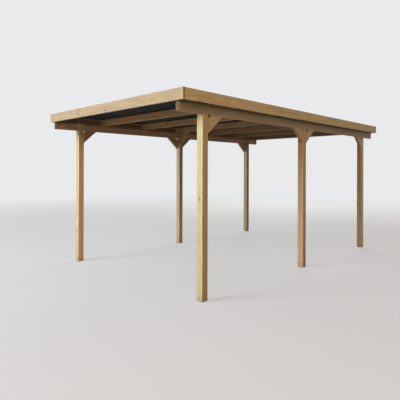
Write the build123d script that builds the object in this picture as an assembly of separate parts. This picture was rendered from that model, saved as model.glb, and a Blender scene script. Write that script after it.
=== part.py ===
"""Timber carport with a flat roof: posts, side beams, braces, rafters, fascia boards and roof sheets.

Millimetres, +Z up, real size. The origin is on the ground at the middle of the plan. The front is
at -Y, and the carport is open on all four sides.
"""

from build123d import *
import math
import os

# Roof plan, measured outside the fascia boards
roof_width = 3000
roof_length = 5200
side_overhang = 90
end_overhang = 380

# Posts: the rows are square timbers with rounded edges, notched at the top for the side beam
post_size = 90
post_edge_radius = 5
clear_height = 2085
tongue_gap = 8

# Side beams, on edge over each row of posts, flush with the posts' outer faces
beam_thickness = 45
beam_depth = 120

# Rafters, lying across both side beams: one over the middle posts, and pairs either side of it
rafter_pair_count = 3
rafter_thickness = 45
rafter_depth = 95

# Rounded long edges of planed beams, rafters and braces
timber_edge_radius = 2.5

# Knee braces along each side: straight boards cut to seat on the post and under the beam
knee_thickness = 45
knee_depth = 120
knee_post_leg = 212
knee_beam_leg = 248

# Cross braces: from the inner face of each middle post up to the rafter over it
cross_thickness = 45
cross_depth = 95
cross_post_leg = 235
cross_rafter_leg = 222

# Fascia boards round the roof edge, standing a little above the rafters
fascia_thickness = 20
fascia_depth = 125
fascia_upstand = 20
fascia_edge_radius = 2

# Roof sheets: pressed metal with ribs from front to rear, each lapped over one rib of the next
sheet_count = 3
sheet_ribs = 10
sheet_thickness = 0.6
sheet_edge_gap = 5
rib_height = 16
rib_top_width = 30
rib_flank_width = 12

# Worked out from the sizes above
beam_top = clear_height + beam_depth
rafter_top = beam_top + rafter_depth
fascia_top = rafter_top + fascia_upstand
post_face_x = roof_width / 2 - side_overhang
post_x = post_face_x - post_size / 2
post_end_y = roof_length / 2 - end_overhang - post_size / 2
inner_width = roof_width - 2 * fascia_thickness
inner_length = roof_length - 2 * fascia_thickness
rafter_pitch = (inner_length - rafter_thickness) / (2 * rafter_pair_count)
rafter_count = 2 * rafter_pair_count + 1

sides = {"left": -1, "right": 1}
post_rows = {"front": -post_end_y, "middle": 0, "rear": post_end_y}


def planed_timber(length, thickness, depth, along, edge_radius):
    """Makes a straight planed timber, its underside at z = 0, with its long edges rounded."""
    sizes = (length, thickness, depth) if along == Axis.X else (thickness, length, depth)
    with BuildPart() as timber:
        Box(*sizes, align=(Align.CENTER, Align.CENTER, Align.MIN))
        fillet(timber.edges().filter_by(along), edge_radius)
    return timber.part


def post(side, y):
    """Makes a post. Its outer part is cut down to a seat for the beam, and a tongue stands inside it."""
    with BuildPart() as timber:
        height = beam_top - tongue_gap
        Box(post_size, post_size, height, align=(Align.CENTER, Align.CENTER, Align.MIN))
        fillet(timber.edges().filter_by(Axis.Z), post_edge_radius)
        notch_x = side * (post_size - beam_thickness) / 2
        with Locations((notch_x, 0, clear_height)):
            Box(
                beam_thickness,
                post_size,
                beam_depth,
                align=(Align.CENTER, Align.CENTER, Align.MIN),
                mode=Mode.SUBTRACT,
            )
    return Pos(side * post_x, y, 0) * timber.part


def side_beam(side):
    """Makes a side beam, which runs from the front fascia to the rear one."""
    timber = planed_timber(inner_length, beam_thickness, beam_depth, Axis.Y, timber_edge_radius)
    return Pos(side * (post_face_x - beam_thickness / 2), 0, clear_height) * timber


def corner_outline(corner, direction, top_z, top_leg, post_leg, depth):
    """Gives the four corners of a brace seen from its side, with an open triangle left in its corner."""
    corner_distance = top_leg * post_leg / math.hypot(top_leg, post_leg)
    inner_share = 1 - depth / corner_distance
    return [
        (corner + direction * top_leg, top_z),
        (corner, top_z - post_leg),
        (corner, top_z - post_leg * inner_share),
        (corner + direction * top_leg * inner_share, top_z),
    ]


def brace_board(plane, outline, thickness):
    """Makes a straight board from its outline in its middle plane, with its long edges rounded."""
    upper_end, lower_end = (plane.from_local_coords(Vector(*corner)) for corner in outline[:2])
    grain = (upper_end - lower_end).normalized()
    parallel = 0.999
    with BuildPart() as board:
        with BuildSketch(plane):
            with BuildLine():
                Polyline(*outline, close=True)
            make_face()
        extrude(amount=thickness / 2, both=True)
        long_edges = board.edges().filter_by(lambda edge: abs((edge % 0.5).dot(grain)) > parallel)
        fillet(long_edges, timber_edge_radius)
    return board.part


def knee_brace(side, post_y, direction):
    """Makes a brace from a post to the side beam, on the post's front (-1) or rear (+1) face."""
    corner_y = post_y + direction * post_size / 2
    outline = corner_outline(corner_y, direction, clear_height, knee_beam_leg, knee_post_leg, knee_depth)
    middle_x = side * (post_face_x - knee_thickness / 2)
    return brace_board(Plane.YZ.offset(middle_x), outline, knee_thickness)


def cross_brace(side):
    """Makes a brace from the inner face of a middle post to the rafter over it."""
    corner_x = side * (post_face_x - post_size)
    outline = corner_outline(corner_x, -side, beam_top, cross_rafter_leg, cross_post_leg, cross_depth)
    return brace_board(Plane.XZ.offset(-post_rows["middle"]), outline, cross_thickness)


def rafter(number):
    """Makes one rafter, numbered from the front. It lies on both beams between the side fascias."""
    timber = planed_timber(inner_width, rafter_thickness, rafter_depth, Axis.X, timber_edge_radius)
    first_y = (rafter_thickness - inner_length) / 2
    return Pos(0, first_y + (number - 1) * rafter_pitch, beam_top) * timber


def end_fascia(direction):
    """Makes the front (-1) or rear (+1) fascia, which covers the ends of the side fascias."""
    timber = planed_timber(roof_width, fascia_thickness, fascia_depth, Axis.X, fascia_edge_radius)
    y = direction * (roof_length - fascia_thickness) / 2
    return Pos(0, y, fascia_top - fascia_depth) * timber


def side_fascia(side):
    """Makes the left or right fascia, which fits between the front and rear ones."""
    timber = planed_timber(inner_length, fascia_thickness, fascia_depth, Axis.Y, fascia_edge_radius)
    x = side * (roof_width - fascia_thickness) / 2
    return Pos(x, 0, fascia_top - fascia_depth) * timber


def roof_sheet(number):
    """Makes one roof sheet, numbered from the left. Ribs stand up between flats that lie on the rafters.

    Sheets meet on the flat top of a rib, where each sheet lies over the edge of the one to its left.
    """
    cover = inner_width - 2 * sheet_edge_gap
    pitch = cover / (sheet_count * sheet_ribs)
    left_x = -cover / 2 + (number - 1) * sheet_ribs * pitch
    first = number == 1
    last = number == sheet_count
    half_top = rib_top_width / 2
    foot = half_top + rib_flank_width

    line = []
    if first:
        line.append((left_x, 0))
    else:
        line.append((left_x - half_top, rib_height + sheet_thickness))
        line.append((left_x + half_top, rib_height + sheet_thickness))
        line.append((left_x + foot, 0))
    for rib in range(1, sheet_ribs):
        rib_x = left_x + rib * pitch
        line.append((rib_x - foot, 0))
        line.append((rib_x - half_top, rib_height))
        line.append((rib_x + half_top, rib_height))
        line.append((rib_x + foot, 0))
    right_x = left_x + sheet_ribs * pitch
    if last:
        line.append((right_x, 0))
    else:
        line.append((right_x - foot, 0))
        line.append((right_x - half_top, rib_height))
        line.append((right_x + half_top, rib_height))

    upper = [(x, z + sheet_thickness) for x, z in reversed(line)]
    with BuildPart() as sheet:
        with BuildSketch(Plane.XZ):
            with BuildLine():
                Polyline(*line, *upper, close=True)
            make_face()
        extrude(amount=inner_length / 2 - sheet_edge_gap, both=True)
    return Pos(0, 0, rafter_top) * sheet.part


def all_pieces():
    """Yields each piece with its name."""
    for side_name, side in sides.items():
        for row_name, y in post_rows.items():
            yield f"post_{row_name}_{side_name}", post(side, y)
        yield f"side_beam_{side_name}", side_beam(side)
        yield f"brace_front_{side_name}", knee_brace(side, post_rows["front"], 1)
        yield f"brace_middle_front_{side_name}", knee_brace(side, post_rows["middle"], -1)
        yield f"brace_middle_rear_{side_name}", knee_brace(side, post_rows["middle"], 1)
        yield f"brace_rear_{side_name}", knee_brace(side, post_rows["rear"], -1)
        yield f"brace_cross_{side_name}", cross_brace(side)
        yield f"fascia_{side_name}", side_fascia(side)
    yield "fascia_front", end_fascia(-1)
    yield "fascia_rear", end_fascia(1)
    for number in range(1, rafter_count + 1):
        yield f"rafter_{number}", rafter(number)
    for number in range(1, sheet_count + 1):
        yield f"roof_sheet_{number}", roof_sheet(number)


os.makedirs("parts", exist_ok=True)
for name, piece in all_pieces():
    export_step(piece, f"parts/{name}.step")
    print(f"{name}: {piece.volume / 1e6:.3f} litres")
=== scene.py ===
"""Finishes for a timber carport: treated pine, coated roof sheets, steel screws and a plain stage.

Metres, +Z up, the front at -Y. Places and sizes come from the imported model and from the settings.
The file is laid out as an add-on and is run as a script.
"""

import math
import random
from typing import NamedTuple

import bmesh
import bpy
from bpy.types import NodeSocket
from mathutils import Matrix, Vector


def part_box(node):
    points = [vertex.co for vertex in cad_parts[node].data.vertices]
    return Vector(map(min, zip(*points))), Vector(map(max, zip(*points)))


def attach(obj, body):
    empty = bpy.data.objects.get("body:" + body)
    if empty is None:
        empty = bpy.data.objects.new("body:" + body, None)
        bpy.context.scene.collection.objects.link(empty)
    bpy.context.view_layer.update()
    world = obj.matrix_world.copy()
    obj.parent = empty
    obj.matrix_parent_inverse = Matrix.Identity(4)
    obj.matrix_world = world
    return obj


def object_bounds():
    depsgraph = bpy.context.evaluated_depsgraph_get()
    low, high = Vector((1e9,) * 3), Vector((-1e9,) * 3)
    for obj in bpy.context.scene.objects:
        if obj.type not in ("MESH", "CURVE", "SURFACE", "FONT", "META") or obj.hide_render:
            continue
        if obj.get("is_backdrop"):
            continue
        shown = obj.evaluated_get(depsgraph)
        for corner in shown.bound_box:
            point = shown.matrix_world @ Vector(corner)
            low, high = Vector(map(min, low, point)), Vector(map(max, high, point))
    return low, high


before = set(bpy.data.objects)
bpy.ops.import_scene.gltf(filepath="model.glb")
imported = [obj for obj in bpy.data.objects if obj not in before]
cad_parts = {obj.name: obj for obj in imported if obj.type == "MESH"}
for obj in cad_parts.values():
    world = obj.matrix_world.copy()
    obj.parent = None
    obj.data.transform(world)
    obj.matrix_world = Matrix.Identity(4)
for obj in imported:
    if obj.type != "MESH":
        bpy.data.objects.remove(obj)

bl_info = {
    "name": "Treated Pine Carport",
    "version": (1, 0, 0),
    "blender": (4, 5, 0),
    "location": "3D View > Sidebar > Carport",
    "description": "Gives a timber carport its wood grain, roof coating, screws and a studio stage",
    "category": "Object",
}

CAD_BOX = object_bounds()

# Millimetres in a metre, and a millimetre in metres
MILLIMETRES = 1000
MM = 0.001

X_AXIS = Vector((1, 0, 0))
Y_AXIS = Vector((0, 1, 0))
Z_AXIS = Vector((0, 0, 1))

# Socket numbers of the Mix node when it mixes colours
MIX_FACTOR = 0
MIX_A = 6
MIX_B = 7
MIX_RESULT = 2


def linear(hex_code):
    """Turns an sRGB hex code into a linear colour."""
    channels = [int(hex_code[start:start + 2], 16) / 255 for start in (1, 3, 5)]
    return tuple(c / 12.92 if c <= 0.04045 else ((c + 0.055) / 1.055) ** 2.4 for c in channels)


def colour_property(name, description, hex_code):
    """Declares a colour setting with its default."""
    return bpy.props.FloatVectorProperty(
        name=name, description=description, subtype="COLOR", size=3, min=0, max=1, default=linear(hex_code)
    )


def length_property(name, description, default):
    """Declares a length setting, in metres."""
    return bpy.props.FloatProperty(
        name=name, description=description, default=default, min=0, unit="LENGTH"
    )


def place_property(name, description, default):
    return bpy.props.FloatVectorProperty(
        name=name, description=description, default=default, subtype="XYZ", size=3, unit="LENGTH"
    )


def angle_property(name, description, degrees):
    """Declares an angle setting, with its default in degrees."""
    return bpy.props.FloatProperty(
        name=name, description=description, default=math.radians(degrees), subtype="ANGLE"
    )


def factor_property(name, description, default):
    """Declares a setting between 0 and 1."""
    return bpy.props.FloatProperty(
        name=name, description=description, default=default, min=0, max=1, subtype="FACTOR"
    )


def power_property(name, description, default):
    return bpy.props.FloatProperty(
        name=name, description=description, default=default, min=0, unit="POWER"
    )


class CarportTimberSettings(bpy.types.PropertyGroup):
    """Colours and grain of the planed, pressure treated pine"""

    warm_wood: colour_property("Warm wood", "Pinkish tan of sapwood that took up little salt", "#D5B99C")
    heart_wood: colour_property("Heart wood", "Pinker brown of the wood from nearer the pith", "#CFB2AB")
    green_wood: colour_property("Green wood", "Yellow green of sapwood that took up more salt", "#D0D4A8")
    late_wood: colour_property("Late wood", "Darker bands of the growth rings", "#B39767")
    end_grain: colour_property("End grain", "Sawn ends, which soak up more salt and dirt", "#5E5038")
    knot_core: colour_property("Knot core", "Middle of a knot", "#6E4726")
    knot_rim: colour_property("Knot rim", "Resin ring and bent grain round a knot", "#B38750")
    splashes: colour_property("Splashes", "Dust that rain splashes on the foot of a post", "#8A7C66")
    ring_spacing: length_property("Ring spacing", "Distance between two growth rings", 0.006)
    ring_wobble: length_property("Ring wobble", "How far the rings wander along a timber", 0.028)
    knot_pitch: length_property("Knot pitch", "Usual distance between knots along a timber", 0.21)
    knot_spread: length_property("Knot spread", "Usual distance between knots across a timber", 0.085)
    # Painted shade: the top edge of a side beam is drawn darker, for the shade under the fascia
    painted_shade_depth: length_property("Sheltered edge", "Height of the dusty top edge of a side beam", 0.036)
    # Painted shade: how far the darkening of a timber's end reaches
    painted_end_shade_reach: length_property("Weathered end", "How far the weather has changed a timber's end", 0.16)
    roughness: factor_property("Roughness", "Roughness of the planed face", 0.62)


class CarportSheetSettings(bpy.types.PropertyGroup):
    """Colours of the coil coated roof sheets"""

    coating: colour_property("Coating", "Polyester coating of the steel sheets", "#1C1D22")
    dust: colour_property("Dust", "Dust that the rain leaves in the troughs", "#6A675F")
    roughness: factor_property("Roughness", "Roughness of the coating", 0.7)
    gloss: factor_property("Gloss", "Strength of the reflection, low in a matt coating", 0.2)


class CarportScrewSettings(bpy.types.PropertyGroup):
    """Sizes and finish of the screws"""

    plating: colour_property("Plating", "Yellow passivated zinc on the timber screws", "#9C8355")
    steel: colour_property("Steel", "Stainless steel of the roofing screws", "#A39E94")
    rubber: colour_property("Rubber", "Sealing washer under each roofing screw", "#232323")
    head_radius: length_property("Head radius", "Radius of a timber screw's head", 0.005)
    head_proud: length_property("Head height", "How far a timber screw's head stands out", 0.0001)
    roofing_radius: length_property("Washer radius", "Radius of a roofing screw's washer", 0.008)
    fascia_spacing: length_property("Fascia screw spacing", "Distance between the screws of a fascia", 0.58)
    edge_distance: length_property("Edge distance", "Distance of a screw from its board's edge", 0.03)


class CarportStageSettings(bpy.types.PropertyGroup):
    """Camera, lamps and floor"""

    camera_place: place_property("Camera", "Where the camera stands", (4.429, -5.354, 1.4775))
    camera_heading: angle_property("Heading", "Turn of the camera from +Y towards -X", 44.29)
    camera_roll: angle_property("Roll", "Tilt of the camera about its own line of sight", 0.17)
    camera_lens: bpy.props.FloatProperty(
        name="Focal length", description="For a sensor 36 mm wide", default=35.43, min=1, unit="CAMERA"
    )
    horizon_shift: factor_property("Horizon shift", "Rise of the horizon as a share of the picture", 0.0775)
    floor: colour_property("Floor", "Pale studio floor", "#D4DCE4")
    backdrop: colour_property("Backdrop", "Background that the floor fades into", "#E9EAEC")
    floor_bounce: colour_property("Floor bounce", "How light a floor the timbers see", "#98876F")
    roof_shade: factor_property("Roof shade", "How light the floor is under the roof", 0.4)
    sky: colour_property("Sky light", "Colour of the light from all round", "#FBE0C2")
    sky_strength: factor_property("Sky strength", "Strength of the light from overhead", 0.15)
    horizon_strength: factor_property("Horizon strength", "Strength of the light from low down", 0.28)
    key_colour: colour_property("Key light", "Colour of the large lamp at the front", "#F3FAFF")
    key_power: power_property("Key power", "Power of the large lamp at the front", 1150)
    key_place: place_property("Key place", "Where the lamp at the front hangs", (-4.0, -12.0, 6.2))
    key_size: length_property("Key size", "Side of the lamp at the front", 5.0)
    fill_colour: colour_property("Fill light", "Colour of the warm lamp at the right", "#FFCD98")
    fill_power: power_property("Fill power", "Power of the lamp at the right", 620)
    fill_place: place_property("Fill place", "Where the lamp at the right hangs", (7.0, -10.0, 8.0))
    fill_size: length_property("Fill size", "Side of the lamp at the right", 6.0)
    back_colour: colour_property("Back light", "Colour of the lamp behind", "#FFF3E4")
    back_power: power_property("Back power", "Power of the lamp behind", 800)
    back_place: place_property("Back place", "Where the lamp behind hangs", (-6.0, 11.0, 7.0))
    back_size: length_property("Back size", "Side of the lamp behind", 6.0)


SETTINGS = {
    "carport_timber": CarportTimberSettings,
    "carport_sheets": CarportSheetSettings,
    "carport_screws": CarportScrewSettings,
    "carport_stage": CarportStageSettings,
}


def add_node(tree, kind, inputs=None, **settings):
    """Adds a shader node, sets its properties, and sets or links its inputs."""
    node = tree.nodes.new(f"ShaderNode{kind}")
    for setting, value in settings.items():
        setattr(node, setting, value)
    for socket, value in (inputs or {}).items():
        if isinstance(value, NodeSocket):
            tree.links.new(value, node.inputs[socket])
        else:
            node.inputs[socket].default_value = value
    return node


def empty_material(name):
    """Makes a material with no nodes, and gives it back with its tree."""
    material = bpy.data.materials.new(name)
    material.use_nodes = True
    material.node_tree.nodes.clear()
    return material, material.node_tree


def opaque(colour):
    """Adds an alpha of 1 to a colour setting."""
    return (*colour, 1)


def nodes_called(start):
    """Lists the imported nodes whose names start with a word."""
    return sorted(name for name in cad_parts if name.startswith(start))


def middle_of(node):
    """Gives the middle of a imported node's box."""
    low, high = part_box(node)
    return (low + high) / 2


def coat(node, material):
    """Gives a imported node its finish."""
    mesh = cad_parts[node].data
    mesh.materials.clear()
    mesh.materials.append(material)


class Timber:
    """A timber's size and own axes, from its solid: along the grain, through it and across its face."""

    def __init__(self, node, along):
        low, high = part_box(node)
        size = high - low
        thin = min((X_AXIS, Y_AXIS), key=lambda axis: round(size.dot(axis), 4))
        grain = along.normalized()
        self.name = node
        self.grain = grain
        self.turn = Matrix((grain, thin, grain.cross(thin)))
        points = [self.turn @ vertex.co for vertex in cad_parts[node].data.vertices]
        lowest = Vector([min(point[axis] for point in points) for axis in range(3)])
        highest = Vector([max(point[axis] for point in points) for axis in range(3)])
        self.middle = (lowest + highest) / 2
        self.half = (highest - lowest) / 2


class Look(NamedTuple):
    """How one timber differs from the others."""

    # How green the salt left it, from 0 for pinkish tan to 1 for yellow green
    green: float
    # How far the pith lies behind the middle, in metres
    pith: float
    # How pale it is, against the others
    pale: float = 1.0
    # How much of its wood is pinkish heart wood
    heart: float = 0.0
    # Painted light on the face that looks to the right, towards +X: how much greener, and how many times as
    # pale, it is drawn, as the light fell on that side
    right_green: float = 0.0
    right_pale: float = 1.0
    # How pale its ends are drawn, against its middle; below 1 this is painted shade
    end_pale: float = 1.0
    # How much painted shade darkens its top edge, just under the roof
    painted_top_shade: float = 0.0
    # How much paler the sapwood is in a post's corners
    sapwood: float = 0.08
    # Knots at given distances along and across its face from the middle, in metres, with their radii
    knots: tuple = ()
    # Whether it is a post, which has its pith inside, has cracked a little, and stands in the splashes
    is_post: bool = False


class Figure(NamedTuple):
    """The patterns on one timber, each a socket that gives 0 to 1 unless its comment says otherwise."""

    # Streaks where the salt went in, the slow change of tone, and the fibres
    streak: NodeSocket
    tone: NodeSocket
    fibre: NodeSocket
    # Cores of knots, and the grain that bends round them
    core: NodeSocket
    bend: NodeSocket
    # Late wood of the growth rings
    late: NodeSocket
    # Sawn ends, and the face that looks to the right, which carries painted light
    cut: NodeSocket
    painted_side_mask: NodeSocket
    # Distance from the nearer end, in millimetres, and the rounded long edges
    from_end: NodeSocket
    arris: NodeSocket
    # Height over the floor, in metres
    height: NodeSocket
    # Pale corners and drying checks, which only posts have
    sapwood: object = 0.0
    crack: object = 0.0


def lengthwise_pattern(tree, place, length, width, detail):
    """Draws a cloudy pattern along the grain, with features of a given length and width in millimetres."""
    stretched = add_node(tree, "VectorMath", {
        0: place, 1: (1 / length, 1 / width, 1 / width)
    }, operation="MULTIPLY").outputs[0]
    return add_node(tree, "TexNoise", {"Vector": stretched, "Scale": 1.0, "Detail": detail}).outputs


def draw_knots(tree, own, shifted, settings, look):
    """Draws knots in oval cells, most of which hold one, and where the timber's look asks for one.

    Radii are shares of a cell, and the distance from a knot's middle is in that knot's own radii.
    """
    smallest, largest = 0.05, 0.125
    share_without = 0.36
    out_of_reach = 9.0
    length_to_width = 2
    core_within, core_ends = 0.7, 1.0
    bent_from, bent_to = 0.9, 3.4

    cells = add_node(tree, "VectorMath", {
        0: shifted,
        1: (MM / settings.knot_pitch, MM / settings.knot_spread, MM / settings.knot_spread),
    }, operation="MULTIPLY").outputs[0]
    cell = add_node(tree, "TexVoronoi", {"Vector": cells, "Scale": 1.0})
    chance = add_node(tree, "SeparateColor", {"Color": cell.outputs["Color"]})
    radius = add_node(tree, "MapRange", {
        "Value": chance.outputs["Red"], "To Min": smallest, "To Max": largest
    }).outputs["Result"]
    distance = add_node(tree, "Math", {
        0: cell.outputs["Distance"], 1: radius
    }, operation="DIVIDE").outputs[0]
    absent = add_node(tree, "Math", {
        0: chance.outputs["Green"], 1: share_without
    }, operation="LESS_THAN").outputs[0]
    distance = add_node(tree, "Math", {
        0: absent, 1: out_of_reach, 2: distance
    }, operation="MULTIPLY_ADD").outputs[0]
    for along, across, size in look.knots:
        apart = add_node(tree, "VectorMath", {
            0: own, 1: (-along * MILLIMETRES, 0, -across * MILLIMETRES)
        }, operation="ADD").outputs[0]
        apart = add_node(tree, "VectorMath", {
            0: apart, 1: (MM / (length_to_width * size), 0, MM / size)
        }, operation="MULTIPLY").outputs[0]
        apart = add_node(tree, "VectorMath", {0: apart}, operation="LENGTH").outputs["Value"]
        distance = add_node(tree, "Math", {0: distance, 1: apart}, operation="MINIMUM").outputs[0]
    core = add_node(tree, "MapRange", {
        "Value": distance, "From Min": core_within, "From Max": core_ends, "To Min": 1.0, "To Max": 0.0
    }, interpolation_type="SMOOTHSTEP").outputs["Result"]
    bend = add_node(tree, "MapRange", {
        "Value": distance, "From Min": bent_from, "From Max": bent_to, "To Min": 1.0, "To Max": 0.0
    }, interpolation_type="SMOOTHSTEP").outputs["Result"]
    return core, bend


def draw_rings(tree, own, shifted, pith, bend, settings):
    """Draws the late wood of the growth rings, round a pith line that wanders along the timber.

    Knots push the rings outwards, and some years leave a stronger ring than others.
    """
    knot_bulge = 11.0
    weakest, strongest = 0.25, 0.7
    late_start, late_end = 0.3, 0.95

    wobble = settings.ring_wobble * MILLIMETRES
    wander = lengthwise_pattern(tree, shifted, length=850, width=170, detail=2.0)["Color"]
    wander = add_node(tree, "VectorMath", {
        0: wander, 1: (0.5, 0.5, 0.5)
    }, operation="SUBTRACT").outputs[0]
    wander = add_node(tree, "VectorMath", {
        0: wander, 1: (0, wobble, wobble)
    }, operation="MULTIPLY").outputs[0]
    section = add_node(tree, "VectorMath", {
        0: own, 1: (0, 1, 1), 2: pith
    }, operation="MULTIPLY_ADD").outputs[0]
    section = add_node(tree, "VectorMath", {0: section, 1: wander}, operation="ADD").outputs[0]
    distance = add_node(tree, "VectorMath", {0: section}, operation="LENGTH").outputs["Value"]
    distance = add_node(tree, "Math", {
        0: bend, 1: knot_bulge, 2: distance
    }, operation="MULTIPLY_ADD").outputs[0]
    ring = add_node(tree, "Math", {
        0: distance, 1: settings.ring_spacing * MILLIMETRES
    }, operation="DIVIDE").outputs[0]
    year = add_node(tree, "Math", {0: ring}, operation="FLOOR").outputs[0]
    vigour = add_node(tree, "TexWhiteNoise", {"W": year}, noise_dimensions="1D").outputs["Value"]
    vigour = add_node(tree, "MapRange", {
        "Value": vigour, "To Min": weakest, "To Max": strongest
    }).outputs["Result"]
    season = add_node(tree, "Math", {0: ring}, operation="FRACT").outputs[0]
    late = add_node(tree, "MapRange", {
        "Value": season, "From Min": late_start, "From Max": late_end
    }, interpolation_type="SMOOTHSTEP").outputs["Result"]
    return add_node(tree, "Math", {0: late, 1: vigour}, operation="MULTIPLY").outputs[0]


def draw_facings(tree, grain):
    """Tells where the surface faces along the grain, as a sawn end does, and where it faces right, the mask
    of the painted side light.
    """
    normal = add_node(tree, "NewGeometry").outputs["Normal"]
    cut = add_node(tree, "VectorMath", {0: normal, 1: grain}, operation="DOT_PRODUCT").outputs["Value"]
    cut = add_node(tree, "Math", {0: cut}, operation="ABSOLUTE").outputs[0]
    cut = add_node(tree, "MapRange", {"Value": cut, "From Min": 0.45, "From Max": 0.9}).outputs["Result"]
    painted_side_mask = add_node(tree, "SeparateXYZ", {0: normal}).outputs["X"]
    painted_side_mask = add_node(tree, "MapRange", {
        "Value": painted_side_mask, "From Min": 0.55, "From Max": 0.85
    }).outputs["Result"]
    return cut, painted_side_mask


def draw_edges(tree, own, timber):
    """Gives the distance from the nearer end, and the rounded long edges, which are a little worn."""
    worn_within, untouched_from = 1.0, 6.0
    depth = add_node(tree, "VectorMath", {0: own}, operation="ABSOLUTE").outputs[0]
    depth = add_node(tree, "VectorMath", {
        0: timber.half * MILLIMETRES, 1: depth
    }, operation="SUBTRACT").outputs[0]
    depth = add_node(tree, "SeparateXYZ", {0: depth}).outputs
    arris = add_node(tree, "Math", {0: depth["Y"], 1: depth["Z"]}, operation="MAXIMUM").outputs[0]
    arris = add_node(tree, "MapRange", {
        "Value": arris, "From Min": worn_within, "From Max": untouched_from, "To Min": 1.0, "To Max": 0.0
    }).outputs["Result"]
    return depth["X"], arris


def draw_sapwood(tree, own, tone):
    """Draws the sapwood in the corners of a post that has the heart inside, with an uneven edge."""
    heart_radius, corner_radius = 55.0, 67.0
    unevenness = 14.0
    outwards = add_node(tree, "VectorMath", {0: own, 1: (0, 1, 1)}, operation="MULTIPLY").outputs[0]
    outwards = add_node(tree, "VectorMath", {0: outwards}, operation="LENGTH").outputs["Value"]
    outwards = add_node(tree, "Math", {
        0: tone, 1: unevenness, 2: outwards
    }, operation="MULTIPLY_ADD").outputs[0]
    return add_node(tree, "MapRange", {
        "Value": outwards, "From Min": heart_radius, "From Max": corner_radius
    }, interpolation_type="SMOOTHSTEP").outputs["Result"]


def draw_checks(tree, shifted, tone):
    """Draws drying checks: thin lengthwise cracks along one level of a stretched noise, in patches."""
    level, thickness = 0.5, 0.006
    crack = lengthwise_pattern(tree, shifted, length=700, width=24, detail=1.0)["Fac"]
    crack = add_node(tree, "Math", {0: crack, 1: level, 2: thickness}, operation="COMPARE").outputs[0]
    patch = add_node(tree, "MapRange", {"Value": tone, "From Min": 0.52, "From Max": 0.6}).outputs["Result"]
    return add_node(tree, "Math", {0: crack, 1: patch}, operation="MULTIPLY").outputs[0]


def draw_figure(tree, timber, settings, look):
    """Draws all patterns of one timber, which is cut from its own place in a solid pattern."""
    rng = random.Random(timber.name)
    pattern_reach = 9000
    pith_drift = 0.3

    # The timber's own coordinates in millimetres: x along the grain, y through it, z across its face
    place = add_node(tree, "TexCoord").outputs["Object"]
    own = add_node(tree, "Mapping", {
        "Vector": place,
        "Location": -timber.middle * MILLIMETRES,
        "Rotation": timber.turn.to_euler(),
        "Scale": (MILLIMETRES, MILLIMETRES, MILLIMETRES),
    }).outputs["Vector"]
    shifted = add_node(tree, "VectorMath", {
        0: own, 1: [rng.uniform(-pattern_reach, pattern_reach) for _ in range(3)]
    }, operation="ADD").outputs[0]
    pith = (
        0,
        look.pith * MILLIMETRES * rng.choice((-1, 1)),
        rng.uniform(-pith_drift, pith_drift) * timber.half.z * MILLIMETRES,
    )

    tone = lengthwise_pattern(tree, shifted, length=420, width=55, detail=2.0)["Fac"]
    core, bend = draw_knots(tree, own, shifted, settings, look)
    cut, painted_side_mask = draw_facings(tree, timber.grain)
    from_end, arris = draw_edges(tree, own, timber)
    figure = Figure(
        streak=lengthwise_pattern(tree, shifted, length=950, width=26, detail=3.0)["Fac"],
        tone=tone,
        fibre=lengthwise_pattern(tree, shifted, length=110, width=3, detail=2.0)["Fac"],
        core=core,
        bend=bend,
        late=draw_rings(tree, own, shifted, pith, bend, settings),
        cut=cut,
        painted_side_mask=painted_side_mask,
        from_end=from_end,
        arris=arris,
        height=add_node(tree, "SeparateXYZ", {0: place}).outputs["Z"],
    )
    if not look.is_post:
        return figure
    return figure._replace(
        sapwood=draw_sapwood(tree, own, tone), crack=draw_checks(tree, shifted, tone)
    )


def wood_colour(tree, figure, settings, look):
    """Mixes the colour of the wood: salt, late wood, knots and sawn ends over warm wood."""
    salt_contrast = 0.42
    halo_strength = 0.45
    end_strength = 0.7

    salt = add_node(tree, "MapRange", {
        "Value": figure.streak,
        "From Min": 0.3,
        "From Max": 0.7,
        "To Min": look.green - salt_contrast,
        "To Max": look.green + salt_contrast,
    }).outputs["Result"]
    # Painted light: the face that looks to the right is tinted as the light fell on it
    salt = add_node(tree, "Math", {
        0: figure.painted_side_mask, 1: look.right_green, 2: salt
    }, operation="MULTIPLY_ADD").outputs[0]
    halo = add_node(tree, "Math", {0: figure.bend, 1: halo_strength}, operation="MULTIPLY").outputs[0]
    ends = add_node(tree, "Math", {0: figure.cut, 1: end_strength}, operation="MULTIPLY").outputs[0]
    wood = opaque(Vector(settings.warm_wood).lerp(Vector(settings.heart_wood), look.heart))
    for amount, colour in (
        (salt, settings.green_wood),
        (figure.late, settings.late_wood),
        (halo, settings.knot_rim),
        (figure.core, settings.knot_core),
        (ends, settings.end_grain),
    ):
        wood = add_node(tree, "Mix", {
            MIX_FACTOR: amount, MIX_A: wood, MIX_B: opaque(colour)
        }, data_type="RGBA").outputs[MIX_RESULT]
    return wood


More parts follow.
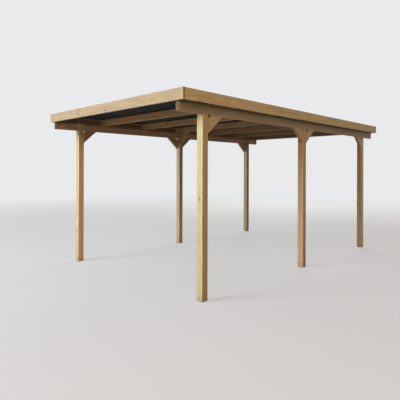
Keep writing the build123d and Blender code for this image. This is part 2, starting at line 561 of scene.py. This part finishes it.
def wood_shade(tree, figure, timber, settings, look):
    """Works out how pale each place is drawn, against its colour, with painted light on the face that looks
    right and painted shade at the ends and top edge.
    """
    darkest, lightest = 0.88, 1.08
    ring_on_end = -0.5
    arris_polish = 0.05
    check_depth = -0.55

    shade = add_node(tree, "MapRange", {
        "Value": figure.tone,
        "From Min": 0.25,
        "From Max": 0.75,
        "To Min": darkest * look.pale,
        "To Max": lightest * look.pale,
    }).outputs["Result"]
    fine = add_node(tree, "MapRange", {
        "Value": figure.fibre, "From Min": 0.3, "From Max": 0.7, "To Min": 0.93, "To Max": 1.04
    }).outputs["Result"]
    # Painted light and shade: the face that looks to the right is drawn paler or darker
    painted_side_light = add_node(tree, "MapRange", {
        "Value": figure.painted_side_mask, "To Min": 1.0, "To Max": look.right_pale
    }).outputs["Result"]
    # Painted shade, darker towards the ends
    end_shade = add_node(tree, "MapRange", {
        "Value": figure.from_end,
        "From Min": 0.0,
        "From Max": settings.painted_end_shade_reach * MILLIMETRES,
        "To Min": look.end_pale,
        "To Max": 1.0,
    }, interpolation_type="SMOOTHSTEP").outputs["Result"]
    for factor in (fine, painted_side_light, end_shade):
        shade = add_node(tree, "Math", {0: shade, 1: factor}, operation="MULTIPLY").outputs[0]
    cut_rings = add_node(tree, "Math", {0: figure.cut, 1: figure.late}, operation="MULTIPLY").outputs[0]
    for mark, amount in (
        (cut_rings, ring_on_end),
        (figure.sapwood, look.sapwood),
        (figure.arris, arris_polish),
        (figure.crack, check_depth),
    ):
        shade = add_node(tree, "Math", {
            0: mark, 1: amount, 2: shade
        }, operation="MULTIPLY_ADD").outputs[0]
    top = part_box(timber.name)[1].z
    # Painted shade along the top edge of a side beam, under the fascia
    top_shade_factor = add_node(tree, "MapRange", {
        "Value": figure.height,
        "From Min": top - settings.painted_shade_depth,
        "From Max": top - settings.painted_shade_depth / 2,
        "To Min": 1.0,
        "To Max": 1 - look.painted_top_shade,
    }, interpolation_type="SMOOTHSTEP").outputs["Result"]
    return add_node(tree, "Math", {0: shade, 1: top_shade_factor}, operation="MULTIPLY").outputs[0]


def splashed_foot(tree, figure, wood, settings):
    """Adds the dust that rain splashes up the lowest hand's breadth of a post, with an uneven edge."""
    unevenness = 0.2
    thick_below, clean_above = 0.1, 0.22
    strength = 0.3
    splash = add_node(tree, "Math", {
        0: figure.streak, 1: unevenness, 2: figure.height
    }, operation="MULTIPLY_ADD").outputs[0]
    splash = add_node(tree, "MapRange", {
        "Value": splash, "From Min": thick_below, "From Max": clean_above, "To Min": strength, "To Max": 0.0
    }, interpolation_type="SMOOTHSTEP").outputs["Result"]
    return add_node(tree, "Mix", {
        MIX_FACTOR: splash, MIX_A: wood, MIX_B: opaque(settings.splashes)
    }, data_type="RGBA").outputs[MIX_RESULT]


def treated_pine(timber, settings, look):
    """Finishes one timber as planed pine, pressure treated with a copper salt.

    The eye sees a matt yellow tan with a green cast, lengthwise bands where the rings are cut, oval knots
    with the grain bent round them, darker sawn ends and fine drying checks. The rings are a solid pattern
    round a pith line, so they meet at the edges of the timber. They are drawn about twice as wide as real.
    """
    late_relief = 0.25
    check_relief = -2.0
    relief_height = 0.4 * MM
    rough_ends = 0.15

    material, tree = empty_material(f"planed treated pine, {timber.name.replace('_', ' ')}")
    figure = draw_figure(tree, timber, settings, look)
    wood = wood_colour(tree, figure, settings, look)
    shade = wood_shade(tree, figure, timber, settings, look)
    wood = add_node(tree, "VectorMath", {0: wood, "Scale": shade}, operation="SCALE").outputs[0]
    if look.is_post:
        wood = splashed_foot(tree, figure, wood, settings)

    # Late wood and fibres stand up a little, and checks go in
    relief = figure.fibre
    for mark, amount in ((figure.late, late_relief), (figure.crack, check_relief)):
        relief = add_node(tree, "Math", {
            0: mark, 1: amount, 2: relief
        }, operation="MULTIPLY_ADD").outputs[0]
    bump = add_node(tree, "Bump", {"Height": relief, "Strength": 0.5, "Distance": relief_height})
    rough = add_node(tree, "MapRange", {
        "Value": figure.fibre, "To Min": settings.roughness - 0.1, "To Max": settings.roughness + 0.12
    }).outputs["Result"]
    rough = add_node(tree, "Math", {
        0: figure.cut, 1: rough_ends, 2: rough
    }, operation="MULTIPLY_ADD").outputs[0]
    surface = add_node(tree, "BsdfPrincipled", {
        "Base Color": wood, "Roughness": rough, "IOR": 1.53, "Normal": bump.outputs["Normal"]
    })
    add_node(tree, "OutputMaterial", {"Surface": surface.outputs["BSDF"]})
    coat(timber.name, material)


# A post has its pith inside, and a thinner timber is sawn from further out
PLAIN_POST = Look(green=0.4, pith=0.03, is_post=True)
PLAIN_BOARD = Look(green=0.4, pith=0.05)

# The near post is the greenest in the photograph, with a knot half way up its side face. The one at the
# front left is pinkish and pale, and the one at the rear right has a paler side face. Each post's face that
# looks to the right is drawn paler or darker, greener or browner, as painted light.
POST_LOOKS = {
    "post_front_left": PLAIN_POST._replace(
        green=0.5, pale=1.2, heart=0.7, right_green=-0.2, right_pale=1.2
    ),
    "post_front_right": PLAIN_POST._replace(
        green=0.95, pale=1.12, right_green=-0.6, right_pale=0.86, knots=((0.073, 0.003, 0.008),)
    ),
    "post_middle_left": PLAIN_POST._replace(pale=1.15, right_pale=1.15),
    "post_middle_right": PLAIN_POST._replace(green=0.3, pale=0.93, right_pale=0.96, sapwood=0.22),
    "post_rear_left": PLAIN_POST._replace(pale=0.9),
    "post_rear_right": PLAIN_POST._replace(green=0.2, pale=0.68, right_green=0.5, right_pale=2.1),
}


class CARPORT_OT_finish_posts(bpy.types.Operator):
    """Finish the posts as boxed heart timber, with the pith inside and splashes at the foot"""

    bl_idname = "carport.finish_posts"
    bl_label = "Finish posts"

    def execute(self, context):
        for node in nodes_called("post_"):
            treated_pine(Timber(node, Z_AXIS), context.scene.carport_timber, POST_LOOKS[node])
        return {"FINISHED"}


# The left beam shows its pinkish inner face in the photograph, the right one its browner outer face. The
# left beam's inner face is drawn paler as painted light and its ends darker as painted shade, and both
# beams carry painted shade along the top edge.
BEAM_LOOKS = {
    "side_beam_left": Look(
        green=0.05, pith=0.055, pale=1.05, heart=0.9, right_pale=1.3, end_pale=0.4, painted_top_shade=0.45
    ),
    "side_beam_right": Look(green=0.3, pith=0.055, pale=0.78, end_pale=0.9, painted_top_shade=0.45),
}


class CARPORT_OT_finish_beams(bpy.types.Operator):
    """Finish the two side beams"""

    bl_idname = "carport.finish_beams"
    bl_label = "Finish side beams"

    def execute(self, context):
        for node in nodes_called("side_beam_"):
            treated_pine(Timber(node, Y_AXIS), context.scene.carport_timber, BEAM_LOOKS[node])
        return {"FINISHED"}


def brace_grain(node):
    """Gives the direction of a brace, from its foot on the post up to its head."""
    low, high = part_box(node)
    size = high - low
    foot = min(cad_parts[node].data.vertices, key=lambda vertex: vertex.co.z).co
    uphill = middle_of(node) - foot
    if "cross" in node:
        return Vector((math.copysign(size.x, uphill.x), 0, size.z))
    return Vector((0, math.copysign(size.y, uphill.y), size.z))


class CARPORT_OT_finish_braces(bpy.types.Operator):
    """Finish the knee and cross braces, whose grain runs along the slope"""

    bl_idname = "carport.finish_braces"
    bl_label = "Finish braces"

    def execute(self, context):
        for node in nodes_called("brace_"):
            treated_pine(Timber(node, brace_grain(node)), context.scene.carport_timber, PLAIN_BOARD)
        return {"FINISHED"}


# The rafters are drawn paler towards the front and darker towards the rear, as painted light and painted
# shade: the second rafter is the palest, and those towards the rear are the darkest
USUAL_RAFTER_PAINTED_LIGHT = 1.1
RAFTER_PAINTED_LIGHT = {"rafter_2": 1.25, "rafter_3": 1.2, "rafter_5": 0.95, "rafter_6": 0.8, "rafter_7": 0.7}


class CARPORT_OT_finish_rafters(bpy.types.Operator):
    """Finish the rafters"""

    bl_idname = "carport.finish_rafters"
    bl_label = "Finish rafters"

    def execute(self, context):
        for node in nodes_called("rafter_"):
            painted_rafter_light = RAFTER_PAINTED_LIGHT.get(node, USUAL_RAFTER_PAINTED_LIGHT)
            look = PLAIN_BOARD._replace(green=0.15, pale=painted_rafter_light)
            treated_pine(Timber(node, X_AXIS), context.scene.carport_timber, look)
        return {"FINISHED"}


# The front board's two knots are where they show in the photograph. The left board's inner face is drawn
# dark, as painted shade.
FASCIA_LOOKS = {
    "fascia_front": PLAIN_BOARD._replace(
        pale=0.77, knots=((-0.656, -0.017, 0.009), (0.037, -0.035, 0.007))
    ),
    "fascia_left": PLAIN_BOARD._replace(green=0.45, right_green=-0.2, right_pale=0.58),
    "fascia_rear": PLAIN_BOARD,
    "fascia_right": PLAIN_BOARD._replace(green=0.5, pale=1.18),
}


class CARPORT_OT_finish_fascias(bpy.types.Operator):
    """Finish the four fascia boards, sawn well away from the pith so that their faces show wide figure"""

    bl_idname = "carport.finish_fascias"
    bl_label = "Finish fascia boards"

    def execute(self, context):
        for node in nodes_called("fascia_"):
            low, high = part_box(node)
            grain = X_AXIS if high.x - low.x > high.y - low.y else Y_AXIS
            treated_pine(Timber(node, grain), context.scene.carport_timber, FASCIA_LOOKS[node])
        return {"FINISHED"}


def coated_steel(settings):
    """Makes the finish of the roof sheets: steel with a matt polyester coil coating.

    The eye sees a dark, dull film with a fine orange peel, dusty in streaks where the rain dries.
    """
    streaks_per_metre = (30, 0.9, 30)
    peel_per_metre = 600.0
    peel_height = 0.05 * MM
    most_dust = 0.5
    dust_roughness = 0.5

    material, tree = empty_material("coil coated steel, dark grey")
    place = add_node(tree, "TexCoord").outputs["Object"]
    streaks = add_node(tree, "VectorMath", {
        0: place, 1: streaks_per_metre
    }, operation="MULTIPLY").outputs[0]
    streaks = add_node(tree, "TexNoise", {
        "Vector": streaks, "Scale": 1.0, "Detail": 4.0
    }).outputs["Fac"]
    upward = add_node(tree, "NewGeometry").outputs["Normal"]
    upward = add_node(tree, "SeparateXYZ", {0: upward}).outputs["Z"]
    upward = add_node(tree, "MapRange", {
        "Value": upward, "From Min": 0.3, "From Max": 1.0
    }).outputs["Result"]
    dusty = add_node(tree, "MapRange", {
        "Value": streaks, "From Min": 0.45, "From Max": 0.8, "To Max": most_dust
    }).outputs["Result"]
    dusty = add_node(tree, "Math", {0: dusty, 1: upward}, operation="MULTIPLY").outputs[0]
    tint = add_node(tree, "Mix", {
        MIX_FACTOR: dusty, MIX_A: opaque(settings.coating), MIX_B: opaque(settings.dust)
    }, data_type="RGBA").outputs[MIX_RESULT]
    rough = add_node(tree, "Math", {
        0: dusty, 1: dust_roughness, 2: settings.roughness
    }, operation="MULTIPLY_ADD").outputs[0]
    peel = add_node(tree, "TexNoise", {
        "Vector": place, "Scale": peel_per_metre, "Detail": 1.0
    }).outputs["Fac"]
    bump = add_node(tree, "Bump", {"Height": peel, "Strength": 0.25, "Distance": peel_height})
    surface = add_node(tree, "BsdfPrincipled", {
        "Base Color": tint,
        "Roughness": rough,
        "IOR": 1.5,
        "Specular IOR Level": settings.gloss,
        "Normal": bump.outputs["Normal"],
    })
    add_node(tree, "OutputMaterial", {"Surface": surface.outputs["BSDF"]})
    return material


class CARPORT_OT_coat_sheets(bpy.types.Operator):
    """Coat the ribbed roof sheets"""

    bl_idname = "carport.coat_sheets"
    bl_label = "Coat roof sheets"

    def execute(self, context):
        material = coated_steel(context.scene.carport_sheets)
        for node in nodes_called("roof_sheet_"):
            coat(node, material)
        return {"FINISHED"}


def screw_metal(name, colour):
    """Makes the finish of a screw head: a metal with a satin of fine scratches, which vary its tone."""
    scratches_per_metre = 2500.0
    material, tree = empty_material(name)
    place = add_node(tree, "TexCoord").outputs["Object"]
    scratches = add_node(tree, "TexNoise", {
        "Vector": place, "Scale": scratches_per_metre, "Detail": 2.0
    }).outputs["Fac"]
    rough = add_node(tree, "MapRange", {
        "Value": scratches, "To Min": 0.3, "To Max": 0.55
    }).outputs["Result"]
    tone = add_node(tree, "MapRange", {
        "Value": scratches, "To Min": 0.8, "To Max": 1.05
    }).outputs["Result"]
    tint = add_node(tree, "VectorMath", {0: colour, "Scale": tone}, operation="SCALE").outputs[0]
    surface = add_node(tree, "BsdfPrincipled", {
        "Base Color": tint, "Roughness": rough, "Metallic": 1.0
    })
    add_node(tree, "OutputMaterial", {"Surface": surface.outputs["BSDF"]})
    return material


def sealing_rubber(settings):
    """Makes the finish of moulded EPDM washers: matt black, greyed a little by weather."""
    blooms_per_metre = 900.0
    material, tree = empty_material("EPDM rubber, moulded")
    place = add_node(tree, "TexCoord").outputs["Object"]
    bloom = add_node(tree, "TexNoise", {
        "Vector": place, "Scale": blooms_per_metre, "Detail": 2.0
    }).outputs["Fac"]
    bloom = add_node(tree, "MapRange", {
        "Value": bloom, "To Min": 0.7, "To Max": 1.6
    }).outputs["Result"]
    tint = add_node(tree, "VectorMath", {
        0: settings.rubber, "Scale": bloom
    }, operation="SCALE").outputs[0]
    surface = add_node(tree, "BsdfPrincipled", {"Base Color": tint, "Roughness": 0.8, "IOR": 1.5})
    add_node(tree, "OutputMaterial", {"Surface": surface.outputs["BSDF"]})
    return material


def add_turned(mesh, rings, seat, outward, segments, material_index=0):
    """Adds a turned form to a mesh. Each ring gives its height and the radii of its even and odd points."""
    stand = outward.to_track_quat("Z", "Y").to_matrix()
    levels = []
    for height, even_radius, odd_radius in rings:
        level = []
        for step in range(segments):
            radius = odd_radius if step % 2 else even_radius
            angle = 2 * math.pi * step / segments
            point = Vector((radius * math.cos(angle), radius * math.sin(angle), height))
            level.append(mesh.verts.new(seat + stand @ point))
        levels.append(level)
    for lower, upper in zip(levels, levels[1:]):
        for step in range(segments):
            after = (step + 1) % segments
            face = mesh.faces.new((lower[step], lower[after], upper[after], upper[step]))
            face.material_index = material_index
    for cap in (reversed(levels[0]), levels[-1]):
        face = mesh.faces.new(list(cap))
        face.material_index = material_index


def finish_piece(name, mesh, materials):
    """Turns a mesh into a piece that rides on the carport."""
    data = bpy.data.meshes.new(name)
    mesh.to_mesh(data)
    mesh.free()
    for material in materials:
        data.materials.append(material)
    piece = bpy.data.objects.new(name, data)
    bpy.context.scene.collection.objects.link(piece)
    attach(piece, "root")


def timber_screws(name, places, settings):
    """Makes a set of countersunk screws with star drives, their heads just proud of the wood."""
    radius = settings.head_radius
    proud = settings.head_proud
    star_points = 12
    cone_depth, cone_foot = 0.5 * radius, 0.45 * radius
    rim, face_edge = 0.97 * radius, 0.94 * radius
    star_tip, star_notch = 0.5 * radius, 0.34 * radius
    floor_tip, floor_notch = 0.46 * radius, 0.31 * radius
    rings = (
        (-cone_depth, cone_foot, cone_foot),
        (0.0, rim, rim),
        (0.8 * proud, radius, radius),
        (proud, face_edge, face_edge),
        (proud, star_tip, star_notch),
        (0.1 * proud, floor_tip, floor_notch),
    )
    mesh = bmesh.new()
    for seat, outward in places:
        add_turned(mesh, rings, seat, outward, star_points)
    finish_piece(name, mesh, [screw_metal("zinc, yellow passivated", settings.plating)])


class CARPORT_OT_add_fascia_screws(bpy.types.Operator):
    """Screw the side fascias to the rafter ends, and the end fascias to the rafters behind them"""

    bl_idname = "carport.add_fascia_screws"
    bl_label = "Add fascia screws"

    def execute(self, context):
        settings = context.scene.carport_screws
        margin = settings.edge_distance
        places = []
        for side, outward in (("left", -X_AXIS), ("right", X_AXIS)):
            low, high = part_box(f"fascia_{side}")
            face_x = low.x if outward.x < 0 else high.x
            for rafter in nodes_called("rafter_"):
                for z in (low.z + margin, high.z - margin):
                    places.append((Vector((face_x, middle_of(rafter).y, z)), outward))
        for end, outward in (("front", -Y_AXIS), ("rear", Y_AXIS)):
            low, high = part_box(f"fascia_{end}")
            face_y = low.y if outward.y < 0 else high.y
            run = high.x - low.x - 2 * margin
            spaces = round(run / settings.fascia_spacing)
            for step in range(spaces + 1):
                x = low.x + margin + run * step / spaces
                for z in (low.z + margin, high.z - margin):
                    places.append((Vector((x, face_y, z)), outward))
        timber_screws("fascia_screws", places, settings)
        return {"FINISHED"}


class CARPORT_OT_add_frame_screws(bpy.types.Operator):
    """Screw the beams to the posts, and each brace at its two ends"""

    bl_idname = "carport.add_frame_screws"
    bl_label = "Add frame screws"

    def execute(self, context):
        settings = context.scene.carport_screws
        places = [*self.beam_places(settings), *self.brace_places()]
        timber_screws("frame_screws", places, settings)
        return {"FINISHED"}

    def beam_places(self, settings):
        """Yields the seat and direction of four screws in a beam at each post."""
        margin = settings.edge_distance
        post_margin = 0.75 * margin
        for side, outward in (("left", -X_AXIS), ("right", X_AXIS)):
            beam_low, beam_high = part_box(f"side_beam_{side}")
            face_x = beam_low.x if outward.x < 0 else beam_high.x
            for row in ("front", "middle", "rear"):
                post_low, post_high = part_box(f"post_{row}_{side}")
                for y in (post_low.y + post_margin, post_high.y - post_margin):
                    for z in (beam_low.z + margin, beam_high.z - margin):
                        yield Vector((face_x, y, z)), outward

    def brace_places(self):
        """Yields the seat and direction of two screws at each end of a brace."""
        end_share, edge_share = 0.5, 0.4
        for node in nodes_called("brace_"):
            timber = Timber(node, brace_grain(node))
            centre = timber.turn.transposed() @ timber.middle
            outward = -Y_AXIS if "cross" in node else X_AXIS * math.copysign(1, centre.x)
            across = timber.turn[2]
            reach = timber.half.x * end_share
            face = centre + outward * timber.half.y
            for end in (-reach, reach):
                for edge in (-edge_share, edge_share):
                    yield face + timber.grain * end + across * timber.half.z * edge, outward


def trough_lines():
    """Finds the middle of each flat between two ribs, from the lowest vertices of the sheets."""
    low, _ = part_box("roof_sheet_1")
    flat = 0.1 * MM
    narrowest = 15 * MM
    lines = set()
    for node in nodes_called("roof_sheet_"):
        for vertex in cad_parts[node].data.vertices:
            if vertex.co.z < low.z + flat:
                lines.add(round(vertex.co.x, 4))
    edges = sorted(lines)
    return [(a + b) / 2 for a, b in zip(edges[::2], edges[1::2]) if b - a > narrowest]


class CARPORT_OT_add_roofing_screws(bpy.types.Operator):
    """Screw the roof sheets to each rafter, in every second trough"""

    bl_idname = "carport.add_roofing_screws"
    bl_label = "Add roofing screws"

    def execute(self, context):
        settings = context.scene.carport_screws
        radius = settings.roofing_radius
        hexagon = 0.5 * radius
        washer_edge, washer_top = 1.6 * MM, 2.2 * MM
        flange_top, hexagon_foot, hexagon_top, crown = 3.0 * MM, 3.2 * MM, 7.2 * MM, 7.8 * MM
        washer_rings = (
            (0.0, radius, radius),
            (washer_edge, radius, radius),
            (washer_top, 0.9 * radius, 0.9 * radius),
        )
        head_rings = (
            (washer_top, 0.85 * radius, 0.85 * radius),
            (flange_top, 0.8 * radius, 0.8 * radius),
            (hexagon_foot, hexagon, hexagon),
            (hexagon_top, hexagon, hexagon),
            (crown, 0.8 * hexagon, 0.8 * hexagon),
        )
        washer_segments, head_segments = 16, 6
        sheet_thickness = 0.6 * MM
        sheet_low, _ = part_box("roof_sheet_1")
        troughs = trough_lines()
        mesh = bmesh.new()
        for number, rafter in enumerate(nodes_called("rafter_")):
            y = middle_of(rafter).y
            for x in troughs[number % 2::2]:
                seat = Vector((x, y, sheet_low.z + sheet_thickness))
                add_turned(mesh, washer_rings, seat, Z_AXIS, washer_segments, material_index=1)
                add_turned(mesh, head_rings, seat, Z_AXIS, head_segments)
        steel = screw_metal("stainless steel, satin", settings.steel)
        finish_piece("roofing_screws", mesh, [steel, sealing_rubber(settings)])
        return {"FINISHED"}


def camera_glossy_or_clear(tree):
    """Gives 1 for rays of the camera, of reflections and of clear materials, and 0 for diffuse light."""
    path = add_node(tree, "LightPath")
    looks = add_node(tree, "Math", {
        0: path.outputs["Is Camera Ray"], 1: path.outputs["Is Glossy Ray"]
    }, operation="MAXIMUM").outputs[0]
    return add_node(tree, "Math", {
        0: looks, 1: path.outputs["Is Transmission Ray"]
    }, operation="MAXIMUM").outputs[0]


def studio_floor(settings):
    """Makes a pale matt floor that fades into the backdrop, and that sends less light up to the timbers."""
    patches_per_metre = 0.6
    fade_start, fade_end = 4.0, 16.0
    least_fade = 0.5
    under_roof, in_the_open = 1.4, 3.4

    material, tree = empty_material("studio floor, matt")
    place = add_node(tree, "TexCoord").outputs["Object"]
    grit = add_node(tree, "TexNoise", {
        "Vector": place, "Scale": patches_per_metre, "Detail": 3.0
    }).outputs["Fac"]
    grit = add_node(tree, "MapRange", {
        "Value": grit, "To Min": 0.97, "To Max": 1.03
    }).outputs["Result"]
    pale = add_node(tree, "VectorMath", {
        0: settings.floor, "Scale": grit
    }, operation="SCALE").outputs[0]
    pale = add_node(tree, "BsdfDiffuse", {"Color": pale}).outputs["BSDF"]
    backdrop = add_node(tree, "Emission", {
        "Color": opaque(settings.backdrop), "Strength": 1.0
    }).outputs[0]
    distance = add_node(tree, "VectorMath", {0: place}, operation="LENGTH").outputs["Value"]
    fade = add_node(tree, "MapRange", {
        "Value": distance, "From Min": fade_start, "From Max": fade_end, "To Min": least_fade
    }, interpolation_type="SMOOTHSTEP").outputs["Result"]
    seen = add_node(tree, "MixShader", {0: fade, 1: pale, 2: backdrop}).outputs[0]
    openness = add_node(tree, "MapRange", {
        "Value": distance,
        "From Min": under_roof,
        "From Max": in_the_open,
        "To Min": settings.roof_shade,
        "To Max": 1.0,
    }, interpolation_type="SMOOTHSTEP").outputs["Result"]
    bounce = add_node(tree, "VectorMath", {
        0: settings.floor_bounce, "Scale": openness
    }, operation="SCALE").outputs[0]
    bounce = add_node(tree, "BsdfDiffuse", {"Color": bounce}).outputs["BSDF"]
    shown = add_node(tree, "MixShader", {0: camera_glossy_or_clear(tree), 1: bounce, 2: seen})
    add_node(tree, "OutputMaterial", {"Surface": shown.outputs[0]})
    return material


class CARPORT_OT_set_stage(bpy.types.Operator):
    """Lay the floor, light it softly, and set the camera at the photograph's viewpoint"""

    bl_idname = "carport.set_stage"
    bl_label = "Set the stage"

    def execute(self, context):
        settings = context.scene.carport_stage
        self.lay_floor(context.scene, settings)
        self.set_world(context.scene, settings)
        for lamp in ("key", "fill", "back"):
            self.hang_lamp(lamp, context.scene, settings)
        self.place_camera(context.scene, settings)
        context.scene.view_settings.view_transform = "Standard"
        return {"FINISHED"}

    def lay_floor(self, scene, settings):
        """Lays a round floor under the posts."""
        floor_radius, floor_segments = 60.0, 96
        mesh = bmesh.new()
        bmesh.ops.create_circle(mesh, cap_ends=True, radius=floor_radius, segments=floor_segments)
        data = bpy.data.meshes.new("floor")
        mesh.to_mesh(data)
        mesh.free()
        data.materials.append(studio_floor(settings))
        floor = bpy.data.objects.new("floor", data)
        scene.collection.objects.link(floor)
        floor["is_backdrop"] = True

    def set_world(self, scene, settings):
        """Lights from all round, and shows the backdrop where the camera sees past the floor."""
        low_sky, high_sky = 0.15, 0.75
        world = bpy.data.worlds.new("studio")
        world.use_nodes = True
        tree = world.node_tree
        tree.nodes.clear()
        height = add_node(tree, "TexCoord").outputs["Generated"]
        height = add_node(tree, "SeparateXYZ", {0: height}).outputs["Z"]
        strength = add_node(tree, "MapRange", {
            "Value": height,
            "From Min": low_sky,
            "From Max": high_sky,
            "To Min": settings.horizon_strength,
            "To Max": settings.sky_strength,
        }, interpolation_type="SMOOTHSTEP").outputs["Result"]
        light = add_node(tree, "Background", {
            "Color": opaque(settings.sky), "Strength": strength
        }).outputs[0]
        backdrop = add_node(tree, "Background", {
            "Color": opaque(settings.backdrop), "Strength": 1.0
        }).outputs[0]
        shown = add_node(tree, "MixShader", {0: camera_glossy_or_clear(tree), 1: light, 2: backdrop})
        add_node(tree, "OutputWorld", {"Surface": shown.outputs[0]})
        scene.world = world

    def hang_lamp(self, name, scene, settings):
        """Hangs a large soft lamp that faces the middle of the carport."""
        lamp = bpy.data.lights.new(name, "AREA")
        lamp.shape = "SQUARE"
        lamp.size = getattr(settings, f"{name}_size")
        lamp.energy = getattr(settings, f"{name}_power")
        lamp.color = getattr(settings, f"{name}_colour")
        holder = bpy.data.objects.new(name, lamp)
        holder.location = getattr(settings, f"{name}_place")
        aim = (Vector(CAD_BOX[0]) + Vector(CAD_BOX[1])) / 2 - holder.location
        holder.rotation_euler = aim.to_track_quat("-Z", "Y").to_euler()
        scene.collection.objects.link(holder)

    def place_camera(self, scene, settings):
        """Stands the camera level, and moves the picture down so that the posts' feet are in it."""
        sensor_width = 36
        farthest_seen = 200
        data = bpy.data.cameras.new("photograph")
        data.sensor_width = sensor_width
        data.lens = settings.camera_lens
        data.shift_y = -settings.horizon_shift
        data.clip_end = farthest_seen
        camera = bpy.data.objects.new("photograph", data)
        level = Matrix.Rotation(math.pi / 2, 3, "X")
        heading = Matrix.Rotation(settings.camera_heading, 3, "Z")
        roll = Matrix.Rotation(settings.camera_roll, 3, "Z")
        camera.rotation_euler = (heading @ level @ roll).to_euler()
        camera.location = settings.camera_place
        scene.collection.objects.link(camera)
        scene.camera = camera


STEPS = (
    CARPORT_OT_finish_posts,
    CARPORT_OT_finish_beams,
    CARPORT_OT_finish_braces,
    CARPORT_OT_finish_rafters,
    CARPORT_OT_finish_fascias,
    CARPORT_OT_coat_sheets,
    CARPORT_OT_add_fascia_screws,
    CARPORT_OT_add_frame_screws,
    CARPORT_OT_add_roofing_screws,
    CARPORT_OT_set_stage,
)


class CARPORT_PT_panel(bpy.types.Panel):
    """Lists the steps in their order, and the settings"""

    bl_idname = "CARPORT_PT_panel"
    bl_label = "Carport"
    bl_space_type = "VIEW_3D"
    bl_region_type = "UI"
    bl_category = "Carport"

    def draw(self, context):
        for step in STEPS:
            self.layout.operator(step.bl_idname)
        for group in SETTINGS:
            box = self.layout.box()
            for setting in SETTINGS[group].__annotations__:
                box.prop(getattr(context.scene, group), setting)


CLASSES = (*SETTINGS.values(), *STEPS, CARPORT_PT_panel)


def register():
    """Registers the classes, and hangs the settings on the scene."""
    for cls in CLASSES:
        bpy.utils.register_class(cls)
    for group, cls in SETTINGS.items():
        setattr(bpy.types.Scene, group, bpy.props.PointerProperty(type=cls))


def unregister():
    """Takes the settings off the scene, and unregisters the classes."""
    for group in SETTINGS:
        delattr(bpy.types.Scene, group)
    for cls in reversed(CLASSES):
        bpy.utils.unregister_class(cls)


def main():
    """Runs every step."""
    register()
    for step in STEPS:
        group, action = step.bl_idname.split(".")
        getattr(getattr(bpy.ops, group), action)()
    boxes = {"cad": CAD_BOX, "visual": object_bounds()}
    {name: [list(corner) for corner in box] for name, box in boxes.items()}


if __name__ == "__main__":
    main()
